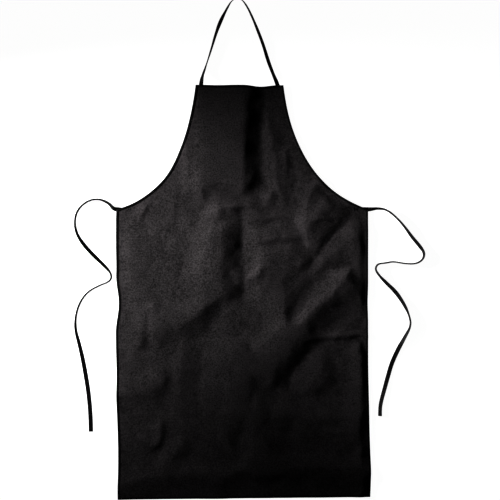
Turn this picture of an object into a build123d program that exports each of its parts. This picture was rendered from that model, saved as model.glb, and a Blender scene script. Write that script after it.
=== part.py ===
"""A protective bib apron lying on its back, front side up.

Two sheets of shielding core lie between a front cover and a back lining. A folded tape
binds the edge all round. A neck tape and two waist ties are sewn on behind the edge. The
cloth is cut at the waist bend, where the bib folds up from the skirt.

Millimetres. X is to the right as seen from the front, Y runs from the hem to the neck and
Z is up, out of the front face. The origin is under the middle of the apron, on the ground.
"""

import os
from math import radians, tan

from build123d import *

# Driving dimensions
apron_length = 988.0       # hem to top edge
waist_width = 604.0        # the skirt has the same width at the waist and at the hem
bib_top_width = 209.0
bib_height = 297.0         # waist corners to top edge
bend_rise = 9.0            # the waist bend lies this far above the waist corners
tape_width = 10.0          # neck tape and waist ties
tape_thickness = 0.8
lining_thickness = 0.5
core_thickness = 0.8       # each of the two sheets
cover_thickness = 0.6
core_inset = 2.0           # core sheets stop short of the edge
binding_width = 5.0        # how far the binding reaches in over each face
binding_wall = 0.5         # its thickness outside the edge
flange_thickness = 0.8     # cloth folded double, on each face
stitch_inset = 3.5         # edge of the apron to the middle of the seam
stitch_width = 0.5
stitch_height = 0.3
stitch_gap = 2.0           # the armhole seam starts this far above the bend
neck_spacing = 184.0       # between the two feet of the neck tape
neck_sewn_length = 30.0
tie_height = 1.5           # middle of the waist ties above the waist corners
tie_sewn_length = 36.0
tie_clearance = 6.5        # swing centre of a waist tie, outside the waist corner
body_gap = 0.3             # between pieces that move apart
bar_length = 8.0           # bar tacks over the sewn tape ends
bar_width = 1.6
end_stitch_inset = 8.0     # free end of a waist tie to the seam across it
end_stitch_length = 7.0

# The armhole is one curve from the top corner to the waist corner. Its two handles are
# given from those corners.
armhole_top_handle = (31.5, -248.0)
armhole_waist_handle = (-40.0, 20.0)
curve_overrun = 20.0       # it runs on past both corners, so that it cuts right through

# Worked out from them
top_y = apron_length / 2
hem_y = -apron_length / 2
waist_y = top_y - bib_height
bend_y = waist_y + bend_rise
half_top = bib_top_width / 2
half_waist = waist_width / 2
lining_z = flange_thickness
core_back_z = lining_z + lining_thickness
core_front_z = core_back_z + core_thickness
cover_z = core_front_z + core_thickness
cover_top_z = cover_z + cover_thickness
apron_top_z = cover_top_z + flange_thickness
neck_x = neck_spacing / 2
tie_y = waist_y + tie_height
tie_pivot_x = half_waist + tie_clearance
tie_root_x = tie_pivot_x - tape_width / 2 - body_gap
neck_root_y = top_y + binding_wall

# The routes of the three tapes, one point for each bend. The neck tape is cut off level with
# the top edge.
left_tie_route = [
    (-tie_pivot_x, tie_y), (-320, 214), (-346, 226), (-374, 219), (-395, 199), (-404, 173),
    (-399, 141), (-379, 112), (-352, 84), (-328, 62), (-313, 44), (-316, 27), (-342, 16),
    (-373, 1), (-391, -26), (-401, -58), (-402, -90), (-392, -124), (-383, -164),
    (-377, -198), (-371, -235), (-366, -275), (-364, -310), (-364.5, -335),
]
right_tie_route = [
    (tie_pivot_x, tie_y), (326, 201), (347, 198), (371, 180), (391, 156), (407, 133),
    (426, 111), (438, 94), (437, 76), (416, 65), (388, 68.5), (363, 73.5), (344, 69.5),
    (326, 68), (317.5, 56), (327, 40.5), (346, 21), (368, 0), (388, -28), (401, -55),
    (406, -80), (390, -107), (373, -138), (358, -171), (349, -202), (341, -234),
    (333, -264), (329.5, -283), (330, -297.5),
]
neck_route = [
    (-neck_x - 0.5, top_y - 3), (-90, 518), (-80, 551), (-69, 585), (-60, 616),
    (-49, 648), (-35, 679), (-19, 701), (3, 705), (18, 686), (33, 654), (46, 622),
    (58, 590), (68, 556), (80, 524), (neck_x + 0.5, top_y - 3),
]

os.makedirs("parts", exist_ok=True)


def write(piece, name):
    """Labels a finished piece and writes its file."""
    piece.part.label = name
    export_step(piece.part, f"parts/{name}.step")


def region(*points):
    """A flat area with straight sides."""
    with BuildSketch() as area:
        with BuildLine():
            Polyline(*points, close=True)
        make_face()
    return area.sketch


def band(low_y, high_y):
    """The flat area between two heights, wider than the apron."""
    reach = waist_width
    return region((-reach, low_y), (reach, low_y), (reach, high_y), (-reach, high_y))


# The outline: a rectangle with an armhole cut from each upper corner

armhole_curve = [
    Vector(half_top, top_y),
    Vector(half_top + armhole_top_handle[0], top_y + armhole_top_handle[1]),
    Vector(half_waist + armhole_waist_handle[0], waist_y + armhole_waist_handle[1]),
    Vector(half_waist, waist_y),
]


def moved_out(points, amount):
    """The same chain of points with each leg moved sideways, away from the cloth."""
    legs = [(after - before).normalized() for before, after in zip(points, points[1:])]
    normals = [Vector(-leg.Y, leg.X) for leg in legs]
    first, last = points[0] + normals[0] * amount, points[-1] + normals[-1] * amount
    inner = []
    for point, before, after in zip(points[1:-1], normals, normals[1:]):
        inner.append(point + (before + after) * (amount / (1 + before.dot(after))))
    return [first, *inner, last]


def grown(amount):
    """The outline, moved out by an amount, or in by a negative one."""
    curve = moved_out(armhole_curve, amount)
    above = curve[0] + (curve[0] - curve[1]).normalized() * curve_overrun
    beyond = curve[-1] + (curve[-1] - curve[-2]).normalized() * curve_overrun
    with BuildSketch() as armholes:
        with BuildLine():
            Line(above, curve[0])
            Bezier(*curve)
            Polyline(curve[-1], beyond, (beyond.X, above.Y), above)
        make_face()
        mirror(about=Plane.YZ)
    with BuildSketch() as shape:
        Rectangle(waist_width + 2 * amount, apron_length + 2 * amount)
        add(armholes.sketch, mode=Mode.SUBTRACT)
    return shape.sketch


# Where the pieces of the edge meet. The mitres at the top corners and at the hem corners
# run at 45 degrees.

mitre = binding_width + 1
bib_area = band(bend_y, top_y + mitre)
skirt_area = band(hem_y - mitre, bend_y)
top_area = region(
    (-half_top - mitre, top_y + mitre), (half_top + mitre, top_y + mitre),
    (half_top - mitre, top_y - mitre), (mitre - half_top, top_y - mitre),
)
bottom_area = region(
    (-half_waist - mitre, hem_y - mitre), (half_waist + mitre, hem_y - mitre),
    (half_waist - mitre, hem_y + mitre), (mitre - half_waist, hem_y + mitre),
)


def side_area(side, low_y, high_y):
    """The half of a band that lies to the left (-1) or to the right (1)."""
    reach = side * waist_width
    return region((0, low_y), (reach, low_y), (reach, high_y), (0, high_y))


# Covers, lining and core sheets

sheets = {
    "back_lining": (lining_z, lining_thickness, 0),
    "core_back": (core_back_z, core_thickness, core_inset),
    "core_front": (core_front_z, core_thickness, core_inset),
    "front_cover": (cover_z, cover_thickness, 0),
}
for sheet_name, (bottom_z, thickness, inset) in sheets.items():
    for half_name, area in (("bib", bib_area), ("skirt", skirt_area)):
        with BuildPart() as sheet:
            with BuildSketch(Plane.XY.offset(bottom_z)):
                add(grown(-inset))
                add(area, mode=Mode.INTERSECT)
            extrude(amount=thickness)
        write(sheet, f"{sheet_name}_{half_name}")


# Sewn ends of the tapes. They lie in notches in the binding, flat on the lining.

def neck_anchor_box(side):
    """Middle, width and height of the sewn end of the neck tape."""
    length = neck_sewn_length + binding_wall
    return (side * neck_x, neck_root_y - length / 2), tape_width, length


def tie_anchor_box(side):
    """Middle, width and height of the sewn end of a waist tie."""
    length = tie_sewn_length + tie_root_x - half_waist
    return (side * (tie_root_x - length / 2), tie_y), length, tape_width


anchors = {
    "neck_anchor_left": neck_anchor_box(-1),
    "neck_anchor_right": neck_anchor_box(1),
    "left_tie_anchor": tie_anchor_box(-1),
    "right_tie_anchor": tie_anchor_box(1),
}
for anchor_name, (middle, width, height) in anchors.items():
    with BuildPart() as anchor:
        with BuildSketch():
            with Locations(middle):
                Rectangle(width, height)
        extrude(amount=tape_thickness)
    write(anchor, anchor_name)


# Edge binding: a folded tape round the whole edge, then cut into its pieces

with BuildPart() as binding_ring:
    with BuildSketch():
        add(grown(binding_wall))
        add(grown(-binding_width), mode=Mode.SUBTRACT)
    extrude(amount=apron_top_z)
    with BuildSketch(Plane.XY.offset(lining_z)):
        add(grown(0))
    extrude(amount=cover_top_z - lining_z, mode=Mode.SUBTRACT)
    with BuildSketch():
        for middle, width, height in anchors.values():
            with Locations(middle):
                Rectangle(width, height)
    extrude(amount=tape_thickness, mode=Mode.SUBTRACT)

# The seam that holds the binding, along the front

with BuildPart() as seam_ring:
    with BuildSketch(Plane.XY.offset(apron_top_z)):
        add(grown(stitch_width / 2 - stitch_inset))
        add(grown(-stitch_width / 2 - stitch_inset), mode=Mode.SUBTRACT)
    extrude(amount=stitch_height)


def cut_piece(ring, name, keep, drop=None):
    """The piece of a ring over one area, less what lies over another."""
    with BuildPart() as piece:
        add(ring.part)
        with BuildSketch():
            add(keep)
            if drop:
                add(drop, mode=Mode.SUBTRACT)
        extrude(amount=apron_top_z + stitch_height, mode=Mode.INTERSECT)
    write(piece, name)


cut_piece(binding_ring, "top_binding", top_area)
cut_piece(binding_ring, "bottom_binding", bottom_area)
cut_piece(seam_ring, "top_stitching", top_area)
cut_piece(seam_ring, "bottom_stitching", bottom_area)
for side_name, side in (("left", -1), ("right", 1)):
    armhole_area = side_area(side, bend_y, top_y + mitre)
    seam_area = side_area(side, bend_y + stitch_gap, top_y + mitre)
    lower_area = side_area(side, hem_y - mitre, bend_y)
    cut_piece(binding_ring, f"{side_name}_armhole_binding", armhole_area, top_area)
    cut_piece(binding_ring, f"{side_name}_side_binding", lower_area, bottom_area)
    cut_piece(seam_ring, f"{side_name}_armhole_stitching", seam_area, top_area)
    cut_piece(seam_ring, f"{side_name}_side_stitching", lower_area, bottom_area)


# Bar tacks that show on the front over the sewn tape ends, two for each end

def tack_pair(name, middles, width, height):
    with BuildPart() as tack:
        with BuildSketch(Plane.XY.offset(cover_top_z)):
            with Locations(*middles):
                Rectangle(width, height)
        extrude(amount=stitch_height)
    write(tack, name)


for side_name, side in (("left", -1), ("right", 1)):
    neck_middles = [(side * neck_x, top_y - depth) for depth in (10, neck_sewn_length - 3)]
    tie_middles = [(side * (half_waist - depth), tie_y) for depth in (27, tie_sewn_length - 3)]
    tack_pair(f"neck_tack_{side_name}", neck_middles, bar_length, bar_width)
    tack_pair(f"{side_name}_waist_tack", tie_middles, bar_width, bar_length)


# Neck tape and waist ties

def corner_radii(route):
    """The largest radius that the two runs at each corner leave room for."""
    points = [Vector(*point) for point in route]
    radii = []
    for before, here, after in zip(points, points[1:], points[2:]):
        run_in, run_out = here - before, after - here
        shorter = min(run_in.length, run_out.length)
        radii.append(0.45 * shorter / tan(radians(run_in.get_angle(run_out)) / 2))
    return radii


def tape(name, route, round_start=False, keep=None):
    """A flat tape along its route, lying on the ground, cut to an area if one is given."""
    radii = corner_radii(route)
    with BuildPart() as ribbon:
        with BuildLine(Plane.XY.offset(tape_thickness / 2)):
            path = FilletPolyline(*route, radius=radii)
        start = Plane(path @ 0, x_dir=(0, 0, 1), z_dir=path % 0)
        with BuildSketch(start):
            Rectangle(tape_thickness, tape_width)
        sweep(path=path)
        if round_start:
            with BuildSketch():
                with Locations(route[0]):
                    Circle(tape_width / 2)
            extrude(amount=tape_thickness)
        if keep:
            with BuildSketch():
                add(keep)
            extrude(amount=tape_thickness, mode=Mode.INTERSECT)
    section_volume = tape_width * tape_thickness * path.length
    print(name, "length", round(path.length, 1), "least radius", round(min(radii), 1))
    print("   radii", [round(radius) for radius in radii])
    print("   volume", round(ribbon.part.volume), "section times length", round(section_volume))
    write(ribbon, name)


def end_stitch(name, route):
    """The short seam across a tie, near its free end."""
    last, end = Vector(*route[-2]), Vector(*route[-1])
    along = (end - last).normalized()
    middle = end - along * end_stitch_inset + Vector(0, 0, tape_thickness)
    with BuildPart() as seam:
        with BuildSketch(Plane(middle, x_dir=along, z_dir=(0, 0, 1))):
            Rectangle(stitch_width, end_stitch_length)
        extrude(amount=stitch_height)
    write(seam, name)


above_edge = band(neck_root_y + body_gap, top_y + apron_length)
tape("neck_tape", neck_route, keep=above_edge)
tape("left_waist_tie", left_tie_route, round_start=True)
tape("right_waist_tie", right_tie_route, round_start=True)
end_stitch("left_tie_end_stitch", left_tie_route)
end_stitch("right_tie_end_stitch", right_tie_route)
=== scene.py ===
"""Looks for a protective bib apron that lies on its back on a pale floor.

Cloth is worked out in millimetres on its flat cut, as on a pattern, and becomes metres where a
mesh is made. X is to the right as seen from the front, Y runs from the hem to the neck, Z is up.
"""

import math

import bpy
import numpy as np
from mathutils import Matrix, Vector


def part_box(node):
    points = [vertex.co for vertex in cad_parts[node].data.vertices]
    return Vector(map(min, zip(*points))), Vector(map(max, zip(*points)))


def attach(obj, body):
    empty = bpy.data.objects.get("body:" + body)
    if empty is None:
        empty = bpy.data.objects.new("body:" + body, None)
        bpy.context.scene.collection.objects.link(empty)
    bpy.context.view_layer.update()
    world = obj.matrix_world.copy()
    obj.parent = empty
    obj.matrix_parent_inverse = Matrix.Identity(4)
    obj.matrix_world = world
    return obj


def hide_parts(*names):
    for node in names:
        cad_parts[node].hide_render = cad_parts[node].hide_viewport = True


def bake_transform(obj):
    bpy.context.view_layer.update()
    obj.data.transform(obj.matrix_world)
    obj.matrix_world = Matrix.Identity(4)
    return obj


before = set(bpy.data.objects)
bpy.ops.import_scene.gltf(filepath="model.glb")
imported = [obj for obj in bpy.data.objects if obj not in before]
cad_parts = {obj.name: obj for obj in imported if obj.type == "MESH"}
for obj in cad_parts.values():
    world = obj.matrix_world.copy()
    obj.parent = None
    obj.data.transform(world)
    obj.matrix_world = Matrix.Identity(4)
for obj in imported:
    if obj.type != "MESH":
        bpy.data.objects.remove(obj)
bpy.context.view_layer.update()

MM = 0.001

# ------------------------------------------------------------ sizes from the frame, in mm


def node_box(name):
    """Lowest and highest corner of a CAD node in millimetres."""
    low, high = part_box(name)
    return np.array(low) / MM, np.array(high) / MM


skirt_low, skirt_high = node_box("front_cover_skirt")
bib_low, bib_high = node_box("front_cover_bib")
binding_low, binding_high = node_box("bottom_binding")
tie_sewn_low, tie_sewn_high = node_box("right_tie_anchor")
neck_sewn_low, neck_sewn_high = node_box("neck_anchor_right")

HALF_WAIST = skirt_high[0]
HEM = skirt_low[1]
TOP = bib_high[1]
BEND = bib_low[1]
WALL = HEM - binding_low[1]                 # binding outside the edge
FLANGE = binding_high[1] - HEM              # binding over each face
BINDING_TOP = binding_high[2]
COVER_TOP = skirt_high[2]
TAPE_WIDTH = neck_sewn_high[0] - neck_sewn_low[0]
TAPE_THICKNESS = neck_sewn_high[2]
NECK_X = (neck_sewn_low[0] + neck_sewn_high[0]) / 2
TIE_Y = (tie_sewn_low[1] + tie_sewn_high[1]) / 2

# Driving dimensions repeated from part.py. A handle is a Bezier handle, from its end point.
HALF_TOP = 104.5
WAIST = TOP - 297.0
TOP_HANDLE = (31.5, -248.0)
WAIST_HANDLE = (-40.0, 20.0)
SEAM_INSET = 3.5
STITCH_PITCH = 3.0

LAYERS = {name: (node_box(name + "_skirt")[0][2], node_box(name + "_skirt")[1][2])
          for name in ("front_cover", "core_front", "core_back", "back_lining")}


# ------------------------------------------------------------ the outline

def smooth(t):
    t = np.clip(t, 0.0, 1.0)
    return t * t * (3 - 2 * t)


def bump(x, middle, reach):
    """1 at the middle, 0 at reach on either side."""
    return smooth(1 - np.abs(x - middle) / reach)


def armhole(t):
    """Points of the right armhole, from the top corner to the waist corner."""
    t = np.asarray(t, float)[:, None]
    a = np.array((HALF_TOP, TOP))
    d = np.array((HALF_WAIST, WAIST))
    b, c = a + TOP_HANDLE, d + WAIST_HANDLE
    s = 1 - t
    return s**3 * a + 3 * s * s * t * b + 3 * s * t * t * c + t**3 * d


ARM = armhole(np.linspace(0, 1, 1501))[::-1]


def half_width(y):
    """From the middle of the flat cut to its side edge."""
    return np.where(y <= WAIST, HALF_WAIST, np.interp(y, ARM[:, 1], ARM[:, 0]))


# ------------------------------------------------------------ how the cloth lies

# Soft creases left by storage and handling. Each has a route on the flat cut; a profile, which
# is a list of distances across the route and heights; the lengths over which it fades at its
# two ends; and, where it isn't crease_height's usual one, the share by which it narrows there.
# A distance is plus to the right of travel, where the crease falls away from the light.

def ridge(lit, height, shade):
    """A crest that eases out over lit on the bright side and over shade on the other."""
    share = np.linspace(0, 1, 9)
    up = [(-lit * s, height * (1 - s) ** 1.6) for s in share[::-1]]
    return up + [(shade * s, height * (1 - s) ** 1.3) for s in share[1:]]


def shelf(foot, edge, height, shade):
    """A broad fold, up from foot to edge, nearly level to the crest and then down over shade."""
    share = np.linspace(0, 1, 9)
    up = [(-foot + (foot - edge) * s, height * 0.95 * float(smooth(s))) for s in share]
    return up + [(shade * s, height * (1 - s) ** 1.3) for s in share]


def valley(foot, fall, height, rise, back):
    """A sharp valley at 0: up from foot, down to it over fall, and up to back over rise."""
    share = np.linspace(0, 1, 9)
    down = [(-foot + (foot - fall) * s, height * float(smooth(s))) for s in share]
    return down + [(0, 0), (rise, back), (rise * 1.4, back * 0.8), (rise * 2.4, 0)]


CREASES = [
    # bib
    ([(8, 228), (8, 560)], shelf(182, 84, 7.6, 48), (36, 0), 0.0),
    ([(-52, 452), (2, 450)], ridge(10, 1.2, 8), (12, 6)),
    ([(-52, 357), (2, 355)], ridge(10, 1.2, 9), (12, 6)),
    ([(-52, 308), (2, 306)], ridge(10, 1.2, 8), (12, 6)),
    ([(100, 200), (86, 300), (70, 430)], ridge(32, 1.8, 36), (60, 60)),
    ([(108, 268), (105, 350)], ridge(9, 0.7, 8), (20, 20)),
    ([(134, 356), (98, 338)], ridge(8, 1.0, 9), (14, 14)),
    ([(148, 190), (160, 230), (184, 268)], ridge(34, 2.0, 30), (30, 30)),
    ([(205, 236), (166, 280)], ridge(20, 1.6, 16), (20, 20)),
    # waist
    ([(-90, 212), (-50, 207), (14, 205)], ridge(34, 3.4, 28), (34, 30)),
    ([(-90, 214), (-98, 234), (-101, 264)], ridge(20, 1.3, 16), (16, 20)),
    ([(-241, 176), (-214, 226)], ridge(26, 1.7, 11), (20, 20)),
    ([(34, 122), (100, 126), (156, 130)], ridge(52, 2.8, 16), (40, 44)),
    ([(54, 206), (84, 250)], ridge(24, 1.8, 20), (20, 20)),
    ([(-10, 179), (120, 177), (234, 173)], ridge(9, 1.8, 8), (30, 30)),
    ([(4, 166), (2, 214)], valley(120, 60, 3.6, 30, 1.0), (14, 18), 0.2),
    # panel down the middle
    ([(3, -34), (5, 60), (6, 184)], valley(150, 53, 7.0, 40, 2.2), (44, 40), 0.2),
    ([(-26, 39), (8, 38), (34, 44), (54, 60)], ridge(18, 3.2, 26), (14, 16)),
    ([(108, -80), (102, 20), (108, 118)], ridge(92, 4.6, 64), (70, 30)),
    # right side
    ([(122, 28), (158, 56), (190, 96), (216, 134), (266, 174)],
     valley(50, 16, 0.8, 22, 0.6), (40, 20)),
    ([(168, 84), (216, 134), (268, 174)], valley(112, 56, 3.7, 36, 1.8), (38, 28)),
    ([(284, -60), (284, 190)], ridge(50, 2.0, 18), (40, 30)),
    ([(118, -104), (160, -66), (205, -14), (238, 20), (266, 52)], ridge(46, 7.6, 64), (60, 28)),
    ([(140, -121), (220, -107), (320, -101)], ridge(20, 2.1, 9), (30, 0)),
    ([(104, -246), (120, -186), (150, -152), (196, -122)], valley(130, 62, 7.8, 60, 3.0), (34, 40)),
    ([(284, -500), (284, -112)], ridge(44, 2.8, 17), (0, 24)),
    # left side
    ([(-236, -90), (-190, -85), (-140, -76), (-99, -44), (-56, -10)],
     ridge(60, 7.4, 56), (20, 64)),
    ([(-262, -134), (-247, -118), (-240, -66)], ridge(30, 4.4, 20), (14, 16)),
    ([(-262, -80), (-204, -16)], ridge(26, 2.2, 34), (24, 20)),
    ([(-268, -236), (-262, -60), (-266, 60), (-262, 180)], ridge(34, 1.7, 150), (20, 60)),
    # lower half
    ([(-112, -400), (-90, -104)],
     [(-76, 0), (-48, 3.0), (0, 0), (100, 9.4), (122, 4.2), (180, 0)], (120, 34), 0.35),
    ([(30, -470), (26, -340), (34, -246)], ridge(40, 6.6, 88), (40, 44)),
    ([(-310, -249), (-215, -229), (-172, -200)], ridge(48, 7.0, 48), (0, 26)),
    ([(-254, -335), (-226, -366), (-206, -356), (-196, -300)], ridge(36, 4.8, 17), (14, 20)),
    ([(-196, -440), (-140, -346)], ridge(44, 5.4, 36), (24, 24)),
    ([(22, -400), (-15, -383), (-52, -331)], ridge(26, 3.0, 14), (14, 14)),
    ([(43, -394), (40, -340)], ridge(14, 2.2, 18), (14, 14)),
    ([(192, -341), (258, -337)], ridge(10, 1.4, 10), (20, 20)),
    ([(40, -310), (110, -296), (200, -306), (320, -298)], ridge(70, 2.6, 90), (50, 0)),
    ([(-320, -470), (-240, -446), (-175, -432), (-60, -440), (46, -414), (160, -426), (320, -440)],
     ridge(40, 6.6, 56), (0, 0)),
]

STEP = 2.0                                       # spacing of the height map
GRID_X = np.arange(-HALF_WAIST - 24, HALF_WAIST + 24.1, STEP)
GRID_Y = np.arange(HEM - 24, TOP + 24.1, STEP)


def crease_height(x, y, route, profile, tapers, pinch=0.65):
    """Height that one crease adds over a map of points. It narrows by pinch towards its ends."""
    route = np.array(route, float)
    legs = np.diff(route, axis=0)
    lengths = np.linalg.norm(legs, axis=1)
    nearest, across = np.full(x.shape, np.inf), np.zeros(x.shape)
    for (x0, y0), leg, length in zip(route, legs, lengths):
        ux, uy = leg / length
        run = (x - x0) * ux + (y - y0) * uy
        side = (x - x0) * uy - (y - y0) * ux
        far = np.hypot(run - np.clip(run, 0, length), side)
        closer = far < nearest
        nearest = np.where(closer, far, nearest)
        across = np.where(closer, np.where(side < 0, -far, far), across)
    fade = np.ones(x.shape)
    for reach, (x0, y0), (ux, uy) in ((tapers[0], route[0], legs[0] / lengths[0]),
                                      (tapers[1], route[-1], -legs[-1] / lengths[-1])):
        if reach:
            inside = (x - x0) * ux + (y - y0) * uy
            fade = fade * smooth((inside + 0.25 * reach) / (1.5 * reach))
    knots = np.array(profile, float)
    narrowed = across / (1 - pinch + pinch * fade)
    return fade * np.interp(narrowed, knots[:, 0], knots[:, 1], left=0, right=0)


def blurred(field, spread):
    """A map smoothed by a bell curve of that spread, in millimetres."""
    reach = int(math.ceil(3 * spread / STEP))
    bell = np.exp(-0.5 * (np.arange(-reach, reach + 1) * STEP / spread) ** 2)
    bell /= bell.sum()
    for axis in (0, 1):
        padded = np.pad(field, [(reach, reach) if a == axis else (0, 0) for a in (0, 1)], "edge")
        field = sum(w * padded.take(range(i, i + field.shape[axis]), axis)
                    for i, w in enumerate(bell))
    return field


def unevenness(seed, spread, height):
    """A map of smooth bumps about as wide as the spread and as high as the height."""
    noise = blurred(np.random.default_rng(seed).standard_normal((len(GRID_Y), len(GRID_X))), spread)
    return noise * height / noise.std()


def height_map():
    """How far the cloth is lifted off the floor at each point of the grid."""
    x, y = np.meshgrid(GRID_X, GRID_Y)
    # Real creases wander, so the map that they are drawn on is warped a little
    x = x + unevenness(21, 24, 4.2) + unevenness(22, 8, 1.3)
    y = y + unevenness(23, 24, 4.2) + unevenness(24, 8, 1.3)
    # They are drawn higher than in the table, by an uneven gain, up to the box's limit
    gain, highest = 1.5, 10.2
    height = sum(crease_height(x, y, *crease) for crease in CREASES)
    height = blurred(height, 2.0) * (gain + unevenness(6, 20, 0.2))
    height = height + unevenness(4, 24, 0.5) + unevenness(11, 4.5, 0.06)
    height = height + 0.5 * np.abs(unevenness(31, 19, 1.0)) + 0.2 * np.abs(unevenness(32, 8, 1.0))
    height = np.maximum(height + 0.3, 0)
    height = blurred(height / (1 + (height / highest) ** 6) ** (1 / 6), 1.3)
    # The cloth comes down to the floor where a waist tie leaves it
    for side in (-1, 1):
        height = height * smooth((np.hypot(x - side * HALF_WAIST, y - TIE_Y) - 6) / 50)
    return height


HEIGHTS = height_map()


def relief(x, y):
    """How far the cloth stands off the floor at a place on the flat cut."""
    fx = np.clip((x - GRID_X[0]) / STEP, 0, len(GRID_X) - 1.001)
    fy = np.clip((y - GRID_Y[0]) / STEP, 0, len(GRID_Y) - 1.001)
    i, j = fx.astype(int), fy.astype(int)
    u, v = fx - i, fy - j
    return ((HEIGHTS[j, i] * (1 - u) + HEIGHTS[j, i + 1] * u) * (1 - v)
            + (HEIGHTS[j + 1, i] * (1 - u) + HEIGHTS[j + 1, i + 1] * u) * v)


def lean(y):
    """The apron lies a little askew: the bib to the left, the hem to the right."""
    return -5.8 * smooth((y - BEND) / 240) + 4.6 * smooth((-y - 120) / 330)


def place(x, y, z):
    """From the flat cut to where the cloth lies, in mm. Its edges bow as in the photo."""
    x, y, z = (np.asarray(v, float) for v in (x, y, z))
    left = smooth((-x / half_width(y) - 0.45) / 0.55)
    right = smooth((x / half_width(y) - 0.45) / 0.55)
    side = left * (4.0 * bump(y, 262, 90) + 0.8 * bump(y, 60, 60) + 7.0 * bump(y, -28, 70)
                   + 1.2 * bump(y, -190, 90) + 1.4 * bump(y, -375, 110))
    side += right * (-1.2 * bump(y, -24, 50) + 1.8 * bump(y, -430, 100))
    rise = (1.4 - 1.0 * bump(x, -52, 44) - 3.6 * bump(x, 50, 42)) * smooth((y - 400) / 94)
    rise += (-0.3 + 3.2 * x / HALF_WAIST) * smooth((-y - 330) / 164)
    rise -= 2.0 * bump(x, -262, 60) * smooth((y - 175) / 40)
    return np.stack([x + lean(y) + side, y + rise, z + relief(x, y)], -1)


# ------------------------------------------------------------ materials

class Nodes:
    """A short way to write a node material."""

    def __init__(self, name):
        self.material = bpy.data.materials.new(name)
        self.material.use_nodes = True
        self.tree = self.material.node_tree
        self.shader = self.tree.nodes["Principled BSDF"]

    def set(self, **values):
        for name, value in values.items():
            self.shader.inputs[name.replace("_", " ")].default_value = value
        return self

    def add(self, kind, links=(), values=(), **settings):
        node = self.tree.nodes.new("ShaderNode" + kind)
        for name, value in settings.items():
            setattr(node, name, value)
        for key, value in dict(values).items():
            node.inputs[key].default_value = value
        for key, output in dict(links).items():
            self.tree.links.new(output, node.inputs[key])
        return node

    def math(self, operation, a, b=None):
        node = self.add("Math", operation=operation)
        for index, value in enumerate((a, b)):
            if value is None:
                continue
            if isinstance(value, (int, float)):
                node.inputs[index].default_value = value
            else:
                self.tree.links.new(value, node.inputs[index])
        return node.outputs[0]

    def noise(self, scale, detail=4.0, roughness=0.55, vector=None):
        node = self.add("TexNoise", values={"Scale": scale, "Detail": detail,
                                            "Roughness": roughness})
        self.tree.links.new(vector or self.coordinates(), node.inputs["Vector"])
        return node.outputs["Fac"]

    def coordinates(self):
        return self.add("TexCoord").outputs["Object"]

    def flat(self):
        """The place on the flat cut or along a tape, in metres."""
        return self.add("UVMap", uv_map="flat").outputs["UV"]

    def ramp(self, fac, low, high, a=0.35, b=0.65):
        node = self.add("ValToRGB", {"Fac": fac})
        first, last = node.color_ramp.elements
        first.position, first.color = a, (*low, 1) if hasattr(low, "__len__") else (low,) * 3 + (1,)
        last.position, last.color = b, (*high, 1) if hasattr(high, "__len__") else (high,) * 3 + (1,)
        return node.outputs["Color"]

    def weave(self, pitch, vector, over=1):
        """Height of a weave with its threads pitch metres apart, each over that many others."""
        split = self.add("SeparateXYZ", {"Vector": vector})
        u = self.math("MULTIPLY", split.outputs["X"], math.pi / pitch)
        v = self.math("MULTIPLY", split.outputs["Y"], math.pi / pitch)
        warp = self.math("ABSOLUTE", self.math("SINE", u))
        weft = self.math("ABSOLUTE", self.math("SINE", v))
        turn = self.math("SINE", self.math("ADD", self.math("DIVIDE", u, over),
                                           self.math("DIVIDE", v, over)))
        upper = self.math("MULTIPLY", warp, self.math("GREATER_THAN", turn, 0.0))
        lower = self.math("MULTIPLY", weft, self.math("LESS_THAN", turn, 0.0))
        return self.math("ADD", upper, lower)

    def bump(self, *heights):
        """Bumps one on another, each a pair of a height and its size in metres."""
        normal = None
        for height, size in heights:
            node = self.add("Bump", {"Height": height}, {"Distance": size, "Strength": 1.0})
            if normal:
                self.tree.links.new(normal, node.inputs["Normal"])
            normal = node.outputs["Normal"]
        self.tree.links.new(normal, self.shader.inputs["Normal"])
        return self

    def feed(self, socket, output):
        self.tree.links.new(output, self.shader.inputs[socket])
        return self


def cover_material():
    m = Nodes("cover_cloth").set(Specular_IOR_Level=0.0)
    flat = m.flat()
    mottle, grain = m.noise(38, 6, 0.62), m.noise(300, 2, 0.75)
    shade = m.math("ADD", m.math("MULTIPLY", mottle, 0.2), m.math("MULTIPLY", grain, 0.8))
    m.feed("Base Color", m.ramp(shade, (0.0054, 0.0049, 0.0051), (0.0247, 0.0229, 0.0234), 0.36, 0.66))
    rough = m.ramp(m.noise(95, 5, 0.6), 0.66, 0.76)
    m.feed("Roughness", rough)
    m.bump((mottle, 0.0004), (grain, 0.00020), (m.weave(0.0009, flat, 1), 0.00005))
    return m.material


def lining_material():
    m = Nodes("lining_cloth").set(Specular_IOR_Level=0.5)
    m.feed("Base Color", m.ramp(m.noise(52, 5), (0.0016, 0.0016, 0.0018), (0.0036, 0.0036, 0.0040)))
    m.feed("Roughness", m.ramp(m.noise(130, 4), 0.50, 0.60))
    m.bump((m.noise(60, 5), 0.0007), (m.weave(0.0007, m.flat(), 2), 0.00004))
    return m.material


def core_material():
    m = Nodes("core_sheet").set(Specular_IOR_Level=0.4)
    m.feed("Base Color", m.ramp(m.noise(150, 6, 0.7), (0.030, 0.030, 0.032), (0.055, 0.055, 0.058)))
    m.feed("Roughness", m.ramp(m.noise(240, 4), 0.62, 0.78))
    m.bump((m.noise(700, 4), 0.00015), (m.noise(60, 4), 0.0004))
    return m.material


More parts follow.
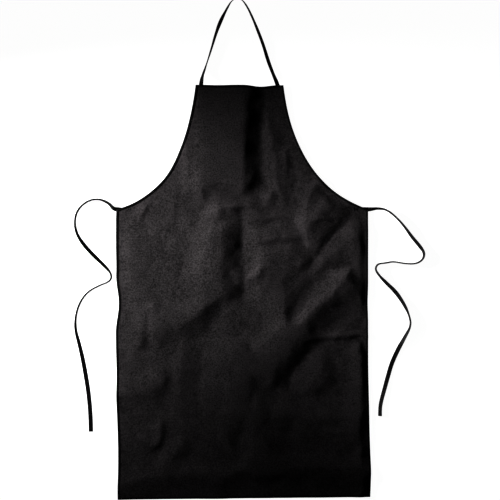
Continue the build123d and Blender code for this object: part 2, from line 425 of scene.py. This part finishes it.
def binding_material():
    m = Nodes("binding_tape").set(Specular_IOR_Level=0.03)
    flat = m.flat()
    split = m.add("SeparateXYZ", {"Vector": flat})
    rib = m.math("SINE", m.math("MULTIPLY", split.outputs["X"], 2 * math.pi / 0.0011))
    wear = m.noise(160, 5, 0.65)
    m.feed("Base Color", m.ramp(wear, (0.0008, 0.0008, 0.0008), (0.0026, 0.0025, 0.0025), 0.4, 0.75))
    m.feed("Roughness", m.ramp(m.noise(300, 4), 0.52, 0.64))
    m.bump((m.noise(220, 4), 0.00015), (rib, 0.00003), (m.weave(0.0006, flat, 1), 0.00003))
    return m.material


def thread_material():
    m = Nodes("thread").set(Specular_IOR_Level=0.06)
    flat = m.flat()
    split = m.add("SeparateXYZ", {"Vector": flat})
    twist = m.math("SINE", m.math("ADD", m.math("MULTIPLY", split.outputs["X"], 2 * math.pi / 0.0006),
                                  m.math("MULTIPLY", split.outputs["Y"], 2 * math.pi / 0.0008)))
    m.feed("Base Color", m.ramp(m.noise(900, 3), (0.0016, 0.0016, 0.0017), (0.0040, 0.0040, 0.0040)))
    m.feed("Roughness", m.ramp(m.noise(500, 3), 0.40, 0.55))
    m.bump((twist, 0.00005))
    return m.material


def tape_material():
    m = Nodes("tape").set(Specular_IOR_Level=0.03)
    flat = m.flat()
    split = m.add("SeparateXYZ", {"Vector": flat})
    chevron = m.math("PINGPONG", split.outputs["Y"], 0.0025)
    slant = m.math("SINE", m.math("MULTIPLY", m.math("ADD", split.outputs["X"], chevron),
                                  2 * math.pi / 0.0012))
    m.feed("Base Color", m.ramp(m.noise(210, 4), (0.0010, 0.0010, 0.0011), (0.0028, 0.0027, 0.0027)))
    m.feed("Roughness", m.ramp(m.noise(400, 4), 0.52, 0.66))
    m.bump((m.noise(260, 3), 0.00012), (slant, 0.00005))
    return m.material


MATERIALS = {"cover_cloth": cover_material(), "lining_cloth": lining_material(),
             "core_sheet": core_material(), "binding_tape": binding_material(),
             "thread": thread_material(), "tape": tape_material()}


# ------------------------------------------------------------ meshes

def make_piece(name, points, faces, flat, slot):
    """A smooth mesh object from points in mm. flat holds each point's place on the flat cut."""
    mesh = bpy.data.meshes.new(name)
    mesh.from_pydata((np.asarray(points) * MM).tolist(), [], faces)
    layer = mesh.uv_layers.new(name="flat")
    corner = np.zeros(len(mesh.loops), np.int32)
    mesh.loops.foreach_get("vertex_index", corner)
    layer.data.foreach_set("uv", (np.asarray(flat, float)[corner] * MM).ravel().astype(np.float32))
    mesh.polygons.foreach_set("use_smooth", [True] * len(mesh.polygons))
    mesh.materials.append(MATERIALS[slot])
    mesh.validate()
    mesh.update()
    piece = bpy.data.objects.new(name, mesh)
    bpy.context.scene.collection.objects.link(piece)
    return piece


def grid_faces(rows, columns, offset=0, flip=False):
    """Quads of a grid of points, row by row."""
    index = np.arange(rows * columns).reshape(rows, columns) + offset
    quads = np.stack([index[:-1, :-1], index[:-1, 1:], index[1:, 1:], index[1:, :-1]], -1)
    quads = quads.reshape(-1, 4)
    return (quads[:, ::-1] if flip else quads).tolist()


def tube_faces(rows, count, flip=False):
    """Quads of a closed tube of rows with count points each, and its two end caps."""
    index = np.arange(rows * count).reshape(rows, count)
    around = np.concatenate([index, index[:, :1]], 1)
    corners = [around[:-1, :-1], around[1:, :-1], around[1:, 1:], around[:-1, 1:]]
    caps = [index[0], index[-1, ::-1]]
    if flip:
        corners = corners[:1] + corners[:0:-1]
        caps = [cap[::-1] for cap in caps]
    return np.stack(corners, -1).reshape(-1, 4).tolist() + [cap.tolist() for cap in caps]


def distances(line):
    """How far along a line each of its points is."""
    return np.concatenate([[0], np.cumsum(np.linalg.norm(np.diff(line, axis=0), axis=1))])


def sheet_rows(edge):
    """Heights of the rows of a sheet. They are closer near the waist corners."""
    lower = np.linspace(HEM + edge, WAIST - 0.5, 172)
    corner = WAIST - 0.5 + 22.5 * np.linspace(0, 1, 15)[1:] ** 1.35
    upper = np.linspace(corner[-1], TOP - edge, 70)[1:]
    return np.concatenate([lower, corner, upper])


def make_sheet(name, slot, edge, coarse=1, slack=0.0):
    """One layer of the apron: a closed, thin shell as large as the outline less an edge."""
    low, high = LAYERS[name]
    y = sheet_rows(edge)[::coarse]
    if y[-1] < TOP - edge:
        y = np.append(y, TOP - edge)
    u = np.linspace(-1, 1, 148 // coarse + 1)
    yy = np.repeat(y[:, None], len(u), 1)
    xx = u[None, :] * (half_width(yy) - edge)
    rows, columns = xx.shape
    top = place(xx, yy, np.full(xx.shape, high - slack)).reshape(-1, 3)
    bottom = place(xx, yy, np.full(xx.shape, low + slack)).reshape(-1, 3)
    count = rows * columns
    index = np.arange(count).reshape(rows, columns)
    rim = np.concatenate([index[0, :-1], index[:-1, -1], index[-1, :0:-1], index[:0:-1, 0]])
    after = np.roll(rim, -1)
    faces = grid_faces(rows, columns) + grid_faces(rows, columns, count, True)
    faces += np.stack([rim, rim + count, after + count, after], -1).tolist()
    flat = np.stack([xx.ravel(), yy.ravel()], -1)
    piece = make_piece(name, np.concatenate([top, bottom]), faces, np.concatenate([flat, flat]), slot)
    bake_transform(piece)
    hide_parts(name + "_skirt", name + "_bib")
    return piece


EDGE_OF = {"front_cover": 0.4, "back_lining": 0.4, "core_front": 2.0, "core_back": 2.0}
SLOT_OF = {"front_cover": "cover_cloth", "back_lining": "lining_cloth",
           "core_front": "core_sheet", "core_back": "core_sheet"}


# ------------------------------------------------------------ binding and seams

def outline(start, end, spacing):
    """Points along the edge between two of its corners, and which way is in at each."""
    corners = {"hem_left": (-HALF_WAIST, HEM), "hem_right": (HALF_WAIST, HEM),
               "waist_right": (HALF_WAIST, WAIST), "top_right": (HALF_TOP, TOP),
               "top_left": (-HALF_TOP, TOP), "waist_left": (-HALF_WAIST, WAIST)}
    a, b = np.array(corners[start]), np.array(corners[end])
    if "top" in start + end and "waist" in start + end:
        curve = armhole(np.linspace(0, 1, 1501))
        if "left" in start:
            curve = curve * (-1, 1)
        if start.startswith("waist"):
            curve = curve[::-1]
    else:
        curve = np.linspace(a, b, 3)
    run = distances(curve)
    count = max(2, int(round(run[-1] / spacing)))
    at = np.linspace(0, run[-1], count + 1)
    return np.stack([np.interp(at, run, curve[:, 0]), np.interp(at, run, curve[:, 1])], -1)


def joined(first, second):
    """Two lines as one, where the second starts at the end of the first."""
    return np.concatenate([first, second[1:]])


def inward(line, before=None, after=None):
    """The mitred inward direction at each point of a line that goes anticlockwise."""
    legs = np.diff(line, axis=0)
    legs /= np.linalg.norm(legs, axis=1)[:, None]
    first = legs[:1] if before is None else np.array([before], float)
    last = legs[-1:] if after is None else np.array([after], float)
    legs = np.concatenate([first, legs, last])
    legs /= np.linalg.norm(legs, axis=1)[:, None]
    normals = np.stack([-legs[:, 1], legs[:, 0]], -1)
    mean = normals[:-1] + normals[1:]
    return mean / (1 + (normals[:-1] * normals[1:]).sum(1))[:, None]


def notch(x, y):
    """1 where the sewn end of a tape runs under the binding."""
    across = np.maximum(bump(np.abs(x), NECK_X, 9) * (y > WAIST + 60),
                        bump(y, TIE_Y, 9) * (y < WAIST + 60))
    return smooth((across - 0.12) / 0.3)


def binding_section():
    """Points round the folded tape, as distance in from the edge and height. Also the
    distance along it to each point, and which points are on the outside."""
    low, high = -WALL, FLANGE
    inner_low, inner_high = TAPE_THICKNESS, COVER_TOP
    outer = [(high, 0.12), (high - 0.35, 0.0), (SEAM_INSET, 0.06), (1.4, 0.0), (0.5, 0.08),
             (-0.1, 0.45), (low, 1.3), (low, BINDING_TOP / 2), (low, BINDING_TOP - 1.3),
             (-0.1, BINDING_TOP - 0.42), (0.5, BINDING_TOP - 0.1), (1.4, BINDING_TOP),
             (2.6, BINDING_TOP - 0.02), (SEAM_INSET, BINDING_TOP - 0.34),
             (high - 0.4, BINDING_TOP - 0.12), (high, BINDING_TOP - 0.35)]
    inner = [(high, inner_high + 0.02), (2.5, inner_high + 0.02), (0.25, inner_high), (0.05, 2.2),
             (0.25, inner_low), (2.5, inner_low - 0.02), (high, inner_low - 0.02)]
    points = np.array(outer + inner)
    return points, distances(points), np.arange(len(points)) < len(outer)


def make_binding(name, line, before, after, nodes):
    """A tape folded over the edge, along part of the outline."""
    section, girth, outside = binding_section()
    normals = inward(line, before, after)
    run = distances(line)
    count = len(section)
    inset, z = section[:, 0][None, :], section[:, 1][None, :]
    xx = line[:, :1] + normals[:, :1] * inset
    yy = line[:, 1:] + normals[:, 1:] * inset
    # The seam draws the front of the tape in at each stitch
    pucker = 0.10 * np.cos(2 * math.pi * run / STITCH_PITCH)[:, None] * bump(inset, SEAM_INSET, 2.6)
    pucker = pucker * np.where(z > BINDING_TOP / 2, 1, 0) * outside[None, :]
    lift = notch(line[:, 0], line[:, 1])[:, None]
    zz = np.where(z < TAPE_THICKNESS, np.maximum(z, (TAPE_THICKNESS - 0.1 + 0.1 * z) * lift), z)
    edge_x = np.clip(xx, -half_width(yy), half_width(yy))
    points = place(edge_x, yy, zz + pucker)
    points[..., 0] += xx - edge_x
    flat = np.stack([np.repeat(run, count), np.tile(girth, len(line))], -1)
    faces = tube_faces(len(line), count, True)
    piece = make_piece(name, points.reshape(-1, 3), faces, flat, "binding_tape")
    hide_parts(*nodes)
    return piece


def capsules(starts, ends, radius, flatten=1.0, sides=6):
    """Short rounded threads between pairs of points, already in place, as one mesh."""
    starts, ends = np.asarray(starts, float), np.asarray(ends, float)
    along = ends - starts
    length = np.linalg.norm(along, axis=1)[:, None]
    along = along / length
    up = np.tile([0.0, 0.0, 1.0], (len(starts), 1))
    side = np.cross(up, along)
    side /= np.linalg.norm(side, axis=1)[:, None]
    up = np.cross(along, side)
    rings = [(0.0, 0.35), (0.12, 0.8), (0.5, 1.0), (0.88, 0.8), (1.0, 0.35)]
    points, flat, faces = [], [], []
    for fraction, size in rings:
        for k in range(sides):
            turn = 2 * math.pi * k / sides
            ring = (starts + along * length * fraction
                    + side * radius * size * math.cos(turn)
                    + up * (radius * flatten * size * math.sin(turn)
                            + 0.18 * radius * math.sin(math.pi * fraction)))
            points.append(ring)
            flat.append(np.concatenate([length * fraction, np.full_like(length, k * 0.3)], 1))
    points, flat = np.stack(points, 1), np.stack(flat, 1)
    per = points.shape[1]
    for number in range(len(rings) - 1):
        for k in range(sides):
            a, b = number * sides + k, number * sides + (k + 1) % sides
            faces.append((a, b, b + sides, a + sides))
    caps = [tuple(reversed(range(sides))), tuple(range(per - sides, per))]
    offsets = (np.arange(len(starts)) * per)[:, None, None]
    quads = (np.array(faces)[None] + offsets).reshape(-1, 4).tolist()
    ends = (np.array(caps)[None] + offsets).reshape(-1, sides).tolist()
    return points.reshape(-1, 3), quads + ends, flat.reshape(-1, 2)


def merged(parts):
    """Several meshes as one: points, faces, flat places."""
    points, faces, flat, offset = [], [], [], 0
    for part_points, part_faces, part_flat in parts:
        points.append(part_points)
        flat.append(part_flat)
        faces += [[i + offset for i in face] for face in part_faces]
        offset += len(part_points)
    return np.concatenate(points), faces, np.concatenate(flat)


def make_seam(name, line, before, after, nodes):
    """Lock stitches on the front and on the back, along part of the outline."""
    path = line + inward(line, before, after) * SEAM_INSET
    run = distances(path)
    count = int(run[-1] / STITCH_PITCH)
    at = (np.arange(count) + 0.5) * run[-1] / count
    parts = []
    for z, shift in ((BINDING_TOP - 0.38, 0.0), (0.12, STITCH_PITCH / 2)):
        ends = []
        for half in (-1.2, 1.2):
            where = np.clip(at + half + shift, 0, run[-1])
            x, y = np.interp(where, run, path[:, 0]), np.interp(where, run, path[:, 1])
            ends.append(place(x, y, np.full(x.shape, z)))
        keep = np.linalg.norm(ends[1] - ends[0], axis=1) > 1.0
        if z < 1:
            middle = (ends[0] + ends[1]) / 2
            keep &= notch(middle[:, 0] - lean(middle[:, 1]), middle[:, 1]) < 0.5
        parts.append(capsules(ends[0][keep], ends[1][keep], 0.26, 0.8))
    piece = make_piece(name, *merged(parts), "thread")
    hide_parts(*nodes)
    return piece


# ------------------------------------------------------------ tapes

def spline_points(name, route):
    """Points in mm along a smooth NURBS line through the bends of a route."""
    curve = bpy.data.curves.new(name, "CURVE")
    curve.dimensions = "3D"
    spline = curve.splines.new("NURBS")
    spline.points.add(len(route) - 1)
    for point, (x, y) in zip(spline.points, route):
        point.co = (x * MM, y * MM, TAPE_THICKNESS / 2 * MM, 1)
    spline.use_endpoint_u = True
    spline.order_u = 3
    spline.resolution_u = 20
    holder = bpy.data.objects.new(name, curve)
    bpy.context.scene.collection.objects.link(holder)
    bpy.context.view_layer.update()
    read = bpy.data.meshes.new_from_object(holder)
    points = np.array([v.co for v in read.vertices]) / MM
    bpy.data.objects.remove(holder)
    bpy.data.curves.remove(curve)
    bpy.data.meshes.remove(read)
    return points[:, :2]


def evenly(line, spacing):
    """The line with its points evenly spaced, and how far along each of them is."""
    run = distances(line)
    at = np.linspace(0, run[-1], int(round(run[-1] / spacing)) + 1)
    return np.stack([np.interp(at, run, line[:, k]) for k in range(line.shape[1])], -1), at


def tape_section():
    """Points round a woven tape: across it and through it. Its selvedges are a little fuller."""
    w, t = TAPE_WIDTH / 2, TAPE_THICKNESS / 2
    half = [(w, 0.0), (w - 0.12, 0.7 * t), (w - 0.7, t), (w - 1.5, 0.82 * t), (0.45 * w, 0.86 * t),
            (0, 0.86 * t), (-0.45 * w, 0.86 * t), (1.5 - w, 0.82 * t), (0.7 - w, t),
            (0.12 - w, 0.7 * t)]
    return np.array(half + [(-a, -b) for a, b in half])


def make_tape(name, route, tilts, shift):
    """A flat tape along a route, tilted up on its edge where tilts says, in degrees. A tape that
    is shifted with the cloth starts and ends on it, and the others lie on the floor.
    Returns the piece, and at each row of points its middle, its directions across and through
    the tape, and the distance along it."""
    row_spacing = 1.25
    line, at = evenly(spline_points(name, route), row_spacing)
    knots = np.array([at[np.argmin(np.hypot(*(line - p).T))] for p in np.array(route, float)])
    knots[0], knots[-1] = 0, at[-1]
    leg = np.clip(np.searchsorted(knots, at, "right") - 1, 0, len(knots) - 2)
    share = smooth((at - knots[leg]) / np.maximum(knots[leg + 1] - knots[leg], 1e-6))
    tilts = np.radians(np.array(tilts, float))
    tilt = tilts[leg] * (1 - share) + tilts[leg + 1] * share
    kernel = np.hanning(17) / np.hanning(17).sum()
    tilt = np.convolve(np.pad(tilt, 8, "edge"), kernel, "valid")
    tilt[0] = tilts[0]
    along = np.gradient(line, axis=0)
    along /= np.linalg.norm(along, axis=1)[:, None]
    side = np.stack([along[:, 1], -along[:, 0], np.zeros(len(line))], -1)
    up = np.array([0.0, 0.0, 1.0])
    across = side * np.cos(tilt)[:, None] + up * np.sin(tilt)[:, None]
    thick = -side * np.sin(tilt)[:, None] + up * np.cos(tilt)[:, None]
    rest = (TAPE_WIDTH / 2 * np.abs(np.sin(tilt)) + TAPE_THICKNESS / 2 * np.abs(np.cos(tilt)))
    for (x, y), distance in ((line[0], at), (line[-1], at[-1] - at)):
        if shift:
            rest = rest + float(relief(x - shift, y)) * (1 - smooth((distance - 4) / 45))
    centre = np.concatenate([line, rest[:, None]], 1)
    section = tape_section()
    points = (centre[:, None] + across[:, None] * section[None, :, :1]
              + thick[:, None] * section[None, :, 1:])
    count, rows = len(section), len(line)
    flat = np.stack([np.repeat(at, count), np.tile(section[:, 0], rows)], -1)
    piece = make_piece(name, points.reshape(-1, 3), tube_faces(rows, count), flat, "tape")
    return piece, centre, across, thick, at


# The routes of part.py, with some points moved a few millimetres to follow the photo's
# tapes, and with the tilt of the tape in degrees at each point. The first point, and the neck
# tape's last one, is where the tape leaves the apron.
LEFT_TIE = [
    (-303.2, 198.5, 0), (-308.7, 199.1, 34), (-320, 214, 52), (-346, 224.8, 73), (-373, 217.4, 74),
    (-393.5, 198.5, 74), (-402, 173, 74), (-397.8, 141, 62), (-379, 112, 40), (-353, 84.4, 37),
    (-329.2, 62.3, 52), (-313, 44, 74), (-314.5, 26.5, 74), (-342, 16, 74), (-371, 0.5, 74),
    (-390, -26, 74), (-399.5, -58, 74), (-400, -90, 62), (-390.5, -124, 45), (-381.5, -164, 27),
    (-375.5, -198, 13), (-369.5, -235, 4), (-365.4, -275, 0), (-363.3, -310, 0), (-363, -335, 0),
]
RIGHT_TIE = [
    (303.2, 198.5, 0), (309.5, 198.7, -36), (326, 201, -60), (347, 198, -74), (370.2, 179.4, -74),
    (391, 156, -66), (407, 133, -50), (426, 111, -44), (438, 94, -62), (434.2, 77.2, -74),
    (416, 67, -74), (388, 68.5, -74), (363, 73.5, -74), (344, 69.5, -74), (326, 68, -74),
    (319, 55.5, -74), (328.5, 40, -66), (347, 21, -42), (369.5, 0, -25), (388.3, -28, -45),
    (401, -55, -74), (406, -80, -74), (391.5, -107, -50), (374.5, -138, -15), (359.5, -171, -4),
    (350.5, -202, -14), (341.6, -234, -26), (333.4, -264, -35), (331, -283, -40), (331.5, -297.5, -42),
]
NECK_TAPE = [
    (-92.5, 491, 0), (-91.5, 503, 20), (-89, 518, 54), (-77.8, 551, 73), (-67, 585, 62),
    (-58, 616, 50), (-47, 648, 28), (-31, 679, 58), (-17.5, 702, 74), (3, 705, 74),
    (18, 686, 64), (33, 654, 58), (46, 622, 46), (58, 590, 43), (68, 556, 34), (80, 524, 40),
    (90.5, 500, 18), (92.5, 491, 0),
]


def tape_from(name, table, shift=0.0):
    route = [(x + shift, y) for x, y, _ in table]
    return make_tape(name, route, [tilt for *_, tilt in table], shift)


def met(points, tape):
    """The rows of a sewn tape, its near end turned to meet the first row of the free tape."""
    centre, across, thick = (rows[0] for rows in tape[1:4])
    inward_way = (tape[1][0] - tape[1][1]) / np.linalg.norm(tape[1][0] - tape[1][1])
    middles = points.mean(axis=1)
    end = min((0, -1), key=lambda row: np.linalg.norm(middles[row] - centre))
    section = tape_section()
    crossways = across * np.sign(across @ (points[end, 0] - points[end, len(section) // 2]))
    gap, turn_length = 0.02, 9
    goal = centre + inward_way * gap + section[:, :1] * crossways + section[:, 1:] * thick
    share = 1 - smooth(np.linalg.norm(middles - middles[end], axis=1) / turn_length)
    return points + share[:, None, None] * (goal - points[end])


def make_anchor(name, x0, x1, y0, y1, node, lengthwise, tape=None):
    """The sewn end of a tape, flat under the lining. It meets the free tape if one is given."""
    section, row_spacing = tape_section(), 1.5
    length = (x1 - x0) if lengthwise == "x" else (y1 - y0)
    at = np.linspace(0, length, int(length / row_spacing) + 1)
    along, across = np.repeat(at[:, None], len(section), 1), np.tile(section[:, 0], (len(at), 1))
    thick = np.tile(section[:, 1], (len(at), 1)) + TAPE_THICKNESS / 2
    if lengthwise == "x":
        xx, yy = x0 + along, (y0 + y1) / 2 + across
    else:
        xx, yy = (x0 + x1) / 2 - across, y0 + along
    points = place(xx, yy, thick)
    if tape:
        points = met(points, tape)
    faces = tube_faces(len(at), len(section), True)
    flat = np.stack([along.ravel(), across.ravel()], -1)
    piece = make_piece(name, points.reshape(-1, 3), faces, flat, "tape")
    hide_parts(node)
    return piece


def make_tack(name, node, crosswise):
    """Two bar tacks on the front, over the sewn end of a tape, and the same on its back."""
    low, high = node_box(node)
    parts = []
    width, length, threads = 1.6, 8.0, 13
    middles = ([(low[0] + high[0]) / 2] * 2, [low[1] + width / 2, high[1] - width / 2]) \
        if crosswise else ([low[0] + width / 2, high[0] - width / 2], [(low[1] + high[1]) / 2] * 2)
    for mx, my in zip(*middles):
        for level in (COVER_TOP + 0.16, 0.02):
            offsets = np.linspace(-length / 2 + 0.3, length / 2 - 0.3, threads)
            height = np.full(threads, level)
            wobble = 0.12 * np.sin(offsets * 7.1)
            if crosswise:
                a = place(mx + offsets, my - width / 2 + wobble, height)
                b = place(mx + offsets + 0.25, my + width / 2 + wobble, height)
            else:
                a = place(mx - width / 2 + wobble, my + offsets, height)
                b = place(mx + width / 2 + wobble, my + offsets + 0.25, height)
            parts.append(capsules(a, b, 0.30, 0.8))
    piece = make_piece(name, *merged(parts), "thread")
    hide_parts(node)
    return piece


def make_end(name, tape, node):
    """The turned-up hem at the free end of a tie, and the stitches across it."""
    hem_length, seam_inset, stitch_count = 8.8, 6.4, 4
    stitch_reach, half_stitch = 3.6, 0.95
    _, centre, across, thick, at = tape
    rows = np.nonzero(at[-1] - at < hem_length)[0]
    section = tape_section() * (0.97, 0.92)
    lifted = centre[rows] + thick[rows] * (TAPE_THICKNESS * 0.9)
    points = (lifted[:, None] + across[rows][:, None] * section[None, :, :1]
              + thick[rows][:, None] * section[None, :, 1:])
    faces = tube_faces(len(rows), len(section))
    flat = np.stack([np.repeat(at[rows], len(section)), np.tile(section[:, 0], len(rows))], -1)
    hem = make_piece(name + "_hem", points.reshape(-1, 3), faces, flat, "tape")
    row = int(np.argmin(np.abs(at[-1] - at - seam_inset)))
    spots = np.linspace(-stitch_reach, stitch_reach, stitch_count)
    above = centre[row] + thick[row] * (TAPE_THICKNESS * 1.42)
    starts = above + across[row] * (spots[:, None] - half_stitch)
    ends = above + across[row] * (spots[:, None] + half_stitch)
    seam = make_piece(name + "_stitches", *capsules(starts, ends, 0.24, 0.8), "thread")
    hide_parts(node)
    return hem, seam


# ------------------------------------------------------------ assembly

sheets = {name: make_sheet(name, SLOT_OF[name], EDGE_OF[name], coarse, slack)
          for name, coarse, slack in (("front_cover", 1, 0.0), ("back_lining", 1, 0.0),
                                      ("core_front", 2, 0.06), ("core_back", 2, 0.06))}

UP, RIGHT, LEFT, DOWN = (0, 1), (1, 0), (-1, 0), (0, -1)


def split_at_bend(line):
    """Index of the point of an edge line nearest to the bend."""
    return int(np.argmin(np.abs(line[:, 1] - BEND)))


def edge_pieces(kind, make):
    """Makes the binding or the seam round the whole edge, anticlockwise, piece by piece."""
    spacing = 1.0
    right_side = joined(outline("hem_right", "waist_right", spacing),
                        outline("waist_right", "top_right", spacing))
    left_side = joined(outline("top_left", "waist_left", spacing),
                       outline("waist_left", "hem_left", spacing))
    right, left = split_at_bend(right_side), split_at_bend(left_side)
    runs = {
        "bottom": (outline("hem_left", "hem_right", spacing), DOWN, UP, "skirt"),
        "right_side": (right_side[:right + 1], RIGHT, right_side[right + 1] - right_side[right], None),
        "right_armhole": (right_side[right:], right_side[right] - right_side[right - 1], LEFT, None),
        "top": (outline("top_right", "top_left", spacing),
                right_side[-1] - right_side[-2], left_side[1] - left_side[0], "bib"),
        "left_armhole": (left_side[:left + 1], LEFT, left_side[left + 1] - left_side[left], None),
        "left_side": (left_side[left:], left_side[left] - left_side[left - 1], RIGHT, None),
    }
    for name, (line, before, after, body) in runs.items():
        piece = make(f"{name}_{kind}", line, before, after, [f"{name}_{kind}"])
        if body:
            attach(piece, body)
        else:
            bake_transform(piece)


# A piece may not have the name of a CAD node, so the visual ones say what they are
def make_edge_binding(name, line, before, after, nodes):
    return make_binding(name.replace("binding", "bias_tape"), line, before, after, nodes)


def make_edge_seam(name, line, before, after, nodes):
    return make_seam(name.replace("stitching", "stitches"), line, before, after, nodes)


edge_pieces("binding", make_edge_binding)
edge_pieces("stitching", make_edge_seam)

neck_shift = float(lean(np.array(TOP)))
neck_loop = tape_from("neck_loop_tape", NECK_TAPE, neck_shift)
left_tie = tape_from("left_tie_tape", LEFT_TIE)
right_tie = tape_from("right_tie_tape", RIGHT_TIE)

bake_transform(neck_loop[0])
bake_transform(left_tie[0])
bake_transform(right_tie[0])
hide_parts("neck_tape")
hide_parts("left_waist_tie")
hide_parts("right_waist_tie")

tie_ends = {}
for side_name, tie in (("left", left_tie), ("right", right_tie)):
    tie_ends[side_name] = make_end(f"{side_name}_tie_end", tie, f"{side_name}_tie_end_stitch")
    for piece in tie_ends[side_name]:
        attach(piece, f"{side_name}_tie")

for side_name, tie in (("left", left_tie), ("right", right_tie)):
    low, high = node_box(f"neck_anchor_{side_name}")
    piece = make_anchor(f"neck_sewn_tape_{side_name}", low[0], high[0], low[1], high[1] + 0.4,
                        f"neck_anchor_{side_name}", "y")
    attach(piece, "bib")
    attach(make_tack(f"neck_bar_tacks_{side_name}", f"neck_tack_{side_name}", True), "bib")
    low, high = node_box(f"{side_name}_tie_anchor")
    piece = make_anchor(f"{side_name}_tie_sewn_tape", low[0], high[0], low[1], high[1],
                        f"{side_name}_tie_anchor", "x", tie)
    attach(piece, "skirt")
    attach(make_tack(f"{side_name}_waist_bar_tacks", f"{side_name}_waist_tack", False), "skirt")



# ------------------------------------------------------------ floor, light and camera

def make_floor():
    """A white floor that glows, because the lights that bring out the creases are weak and low."""
    mesh = bpy.data.meshes.new("floor")
    reach, level = 40.0, -0.0003
    mesh.from_pydata([(-reach, -reach, level), (reach, -reach, level), (reach, reach, level),
                      (-reach, reach, level)], [], [(0, 1, 2, 3)])
    floor = bpy.data.objects.new("floor", mesh)
    bpy.context.scene.collection.objects.link(floor)
    m = Nodes("floor").set(Roughness=0.9, Specular_IOR_Level=0.1, Emission_Strength=0.985)
    m.set(Base_Color=(0.15, 0.15, 0.15, 1), Emission_Color=(1, 1, 1, 1))
    mesh.materials.append(m.material)


def make_backdrop():
    """A plain white dome behind everything. Only the camera sees it, and it lights nothing."""
    reach = 60.0
    bpy.ops.mesh.primitive_uv_sphere_add(segments=32, ring_count=16, radius=reach)
    dome = bpy.context.object
    dome.name = "backdrop"
    m = Nodes("backdrop").set(Emission_Strength=1.0, Specular_IOR_Level=0.0)
    m.set(Base_Color=(0, 0, 0, 1), Emission_Color=(1, 1, 1, 1))
    dome.data.materials.append(m.material)
    for ray in ("diffuse", "glossy", "transmission", "volume_scatter", "shadow"):
        setattr(dome, "visible_" + ray, False)


def add_light(name, place_m, aim, size, power, spread):
    """A round light aimed at a point. Its spread in degrees keeps it to one part of the cloth."""
    light = bpy.data.lights.new(name, "AREA")
    light.shape, light.size, light.energy = "DISK", size, power
    light.spread = math.radians(spread)
    holder = bpy.data.objects.new(name, light)
    bpy.context.scene.collection.objects.link(holder)
    holder.location = place_m
    direction = np.array(aim) - np.array(place_m)
    holder.rotation_mode = "QUATERNION"
    holder.visible_camera = False
    holder.rotation_quaternion = Vector(direction).to_track_quat("-Z", "Y")


def add_camera():
    camera = bpy.data.cameras.new("camera")
    camera.lens, camera.sensor_width = 85, 36
    field = 1.2
    holder = bpy.data.objects.new("camera", camera)
    bpy.context.scene.collection.objects.link(holder)
    holder.location = (0.0192, 0.1008, field * 85 / 36 + 0.003)
    bpy.context.scene.camera = holder


def set_world(brightness):
    world = bpy.data.worlds.new("studio")
    world.use_nodes = True
    tree = world.node_tree
    background = tree.nodes["Background"]
    background.inputs["Color"].default_value = (1, 1, 1, 1)
    background.inputs["Strength"].default_value = brightness
    bpy.context.scene.world = world


make_floor()
make_backdrop()
set_world(0.02)
add_light("key", (-0.62, 0.10, 0.36), (-0.34, -0.16, 0), 0.20, 4.15, 77)
add_light("second", (-1.28, 0.50, 0.33), (0.38, 0.05, 0), 0.24, 14.3, 34)
add_camera()
bpy.context.scene.view_settings.view_transform = "Standard"
bpy.context.scene.view_settings.gamma = 0.66
